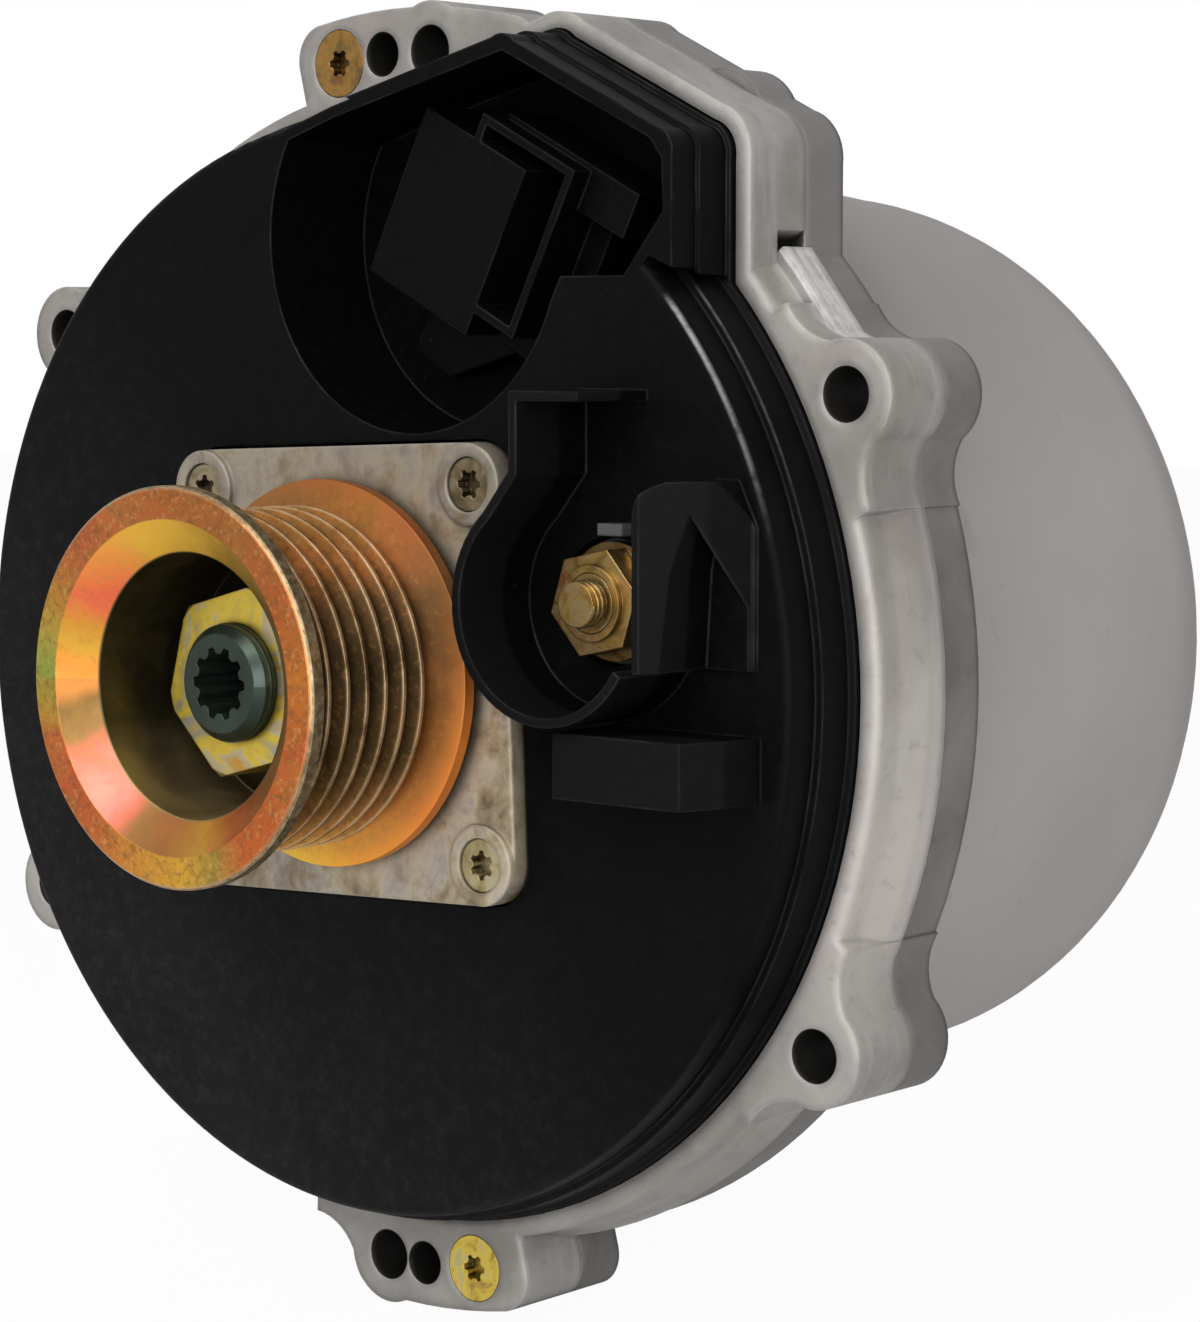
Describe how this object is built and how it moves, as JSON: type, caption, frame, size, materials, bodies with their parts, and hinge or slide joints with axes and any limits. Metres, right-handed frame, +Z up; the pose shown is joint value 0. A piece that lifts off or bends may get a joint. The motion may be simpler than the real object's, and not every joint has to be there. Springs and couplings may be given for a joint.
{
  "type": "alternator",
  "caption": "Water-cooled alternator: smooth aluminium cup, cast bolting shield, black front cover with connector recess and terminal shroud, ribbed belt pulley on the shaft.",
  "frame": {"origin": "on the shaft axis at the mounting face, which is the rear face of the bolting ears", "axes": "-Y along the shaft towards the pulley, +Z up, +X to the right of a viewer who faces the pulley"},
  "size_m": [0.1702, 0.1659, 0.1884],
  "materials": {
    "cast_aluminium": "die-cast, satin, slightly mottled",
    "smooth_aluminium": "smooth satin cup",
    "black_cover": "moulded black, fine grain, glossier on wall edges",
    "yellow_chromate": "iridescent yellow chromate over zinc",
    "steel": "ground steel",
    "cage_steel": "pressed steel",
    "seal_rubber": "black nitrile rubber",
    "dark_plastic": "glass-filled black plastic",
    "lamination_steel": "forged and laminated steel",
    "copper": "enamelled copper",
    "carbon": "copper-graphite",
    "sink_aluminium": "pressed aluminium sheet",
    "diode_metal": "nickel-plated cup",
    "brass": "bright brass colour"
  },
  "bodies": {
    "housing": {"end_shield": "cast_aluminium", "rear_housing": "smooth_aluminium", "front_cover": "black_cover", "bearing_plate": "cast_aluminium", "bearing_plate_screws": "yellow_chromate", "case_screws": "yellow_chromate", "front_bearing_outer_race": "steel", "front_bearing_seals": "seal_rubber", "rear_bearing_outer_race": "steel", "rear_bearing_seals": "seal_rubber", "rear_bearing_sleeve": "dark_plastic", "stator_core": "lamination_steel", "stator_winding": "copper", "brush_holder": "dark_plastic", "front_brush_spring": "steel", "rear_brush_spring": "steel", "rectifier_minus_plate": "sink_aluminium", "circuit_carrier": "dark_plastic", "rectifier_plus_plate": "sink_aluminium", "rectifier_diodes": "diode_metal", "rectifier_screws": "steel", "terminal_stud": "brass", "terminal_bush": "dark_plastic", "terminal_nut": "brass", "voltage_regulator": "dark_plastic", "connector_socket": "dark_plastic", "connector_pins": "brass", "case_seal_ring": "seal_rubber"},
    "rotor": {"rotor_shaft": "steel", "pulley": "yellow_chromate", "pulley_nut": "yellow_chromate", "pulley_spacer": "steel", "front_bearing_inner_race": "steel", "rear_bearing_inner_race": "steel", "front_claw_pole": "lamination_steel", "rear_claw_pole": "lamination_steel", "coil_bobbin": "dark_plastic", "field_coil": "copper", "front_slip_ring": "copper", "rear_slip_ring": "copper", "slip_ring_collar": "dark_plastic"},
    "front_cage": {"front_bearing_cage": "cage_steel", "front_bearing_balls": "steel"},
    "rear_cage": {"rear_bearing_cage": "cage_steel", "rear_bearing_balls": "steel"},
    "front_brush_body": {"front_brush": "carbon"},
    "rear_brush_body": {"rear_brush": "carbon"}
  },
  "joints": [
    {"name": "rotor_spin", "type": "hinge", "parent": "housing", "child": "rotor", "pos_m": [0, 0, 0], "axis": [0, -1, 0], "continuous": true},
    {"name": "front_cage_spin", "type": "hinge", "parent": "housing", "child": "front_cage", "pos_m": [0, -0.0215, 0], "axis": [0, -1, 0], "continuous": true},
    {"name": "rear_cage_spin", "type": "hinge", "parent": "housing", "child": "rear_cage", "pos_m": [0, 0.087, 0], "axis": [0, -1, 0], "continuous": true},
    {"name": "front_brush_slide", "type": "slide", "parent": "housing", "child": "front_brush_body", "axis": [0, 0, -1], "range_m": [0, 0.003], "stiffness_N_per_m": 120, "springref_m": -0.012, "deforming": ["front_brush_spring"]},
    {"name": "rear_brush_slide", "type": "slide", "parent": "housing", "child": "rear_brush_body", "axis": [0, 0, -1], "range_m": [0, 0.003], "stiffness_N_per_m": 120, "springref_m": -0.012, "deforming": ["rear_brush_spring"]}
  ],
  "couplings": [
    {"joint": "front_cage_spin", "follows": "rotor_spin", "ratio": 0.3625},
    {"joint": "rear_cage_spin", "follows": "rotor_spin", "ratio": 0.384}
  ]
}
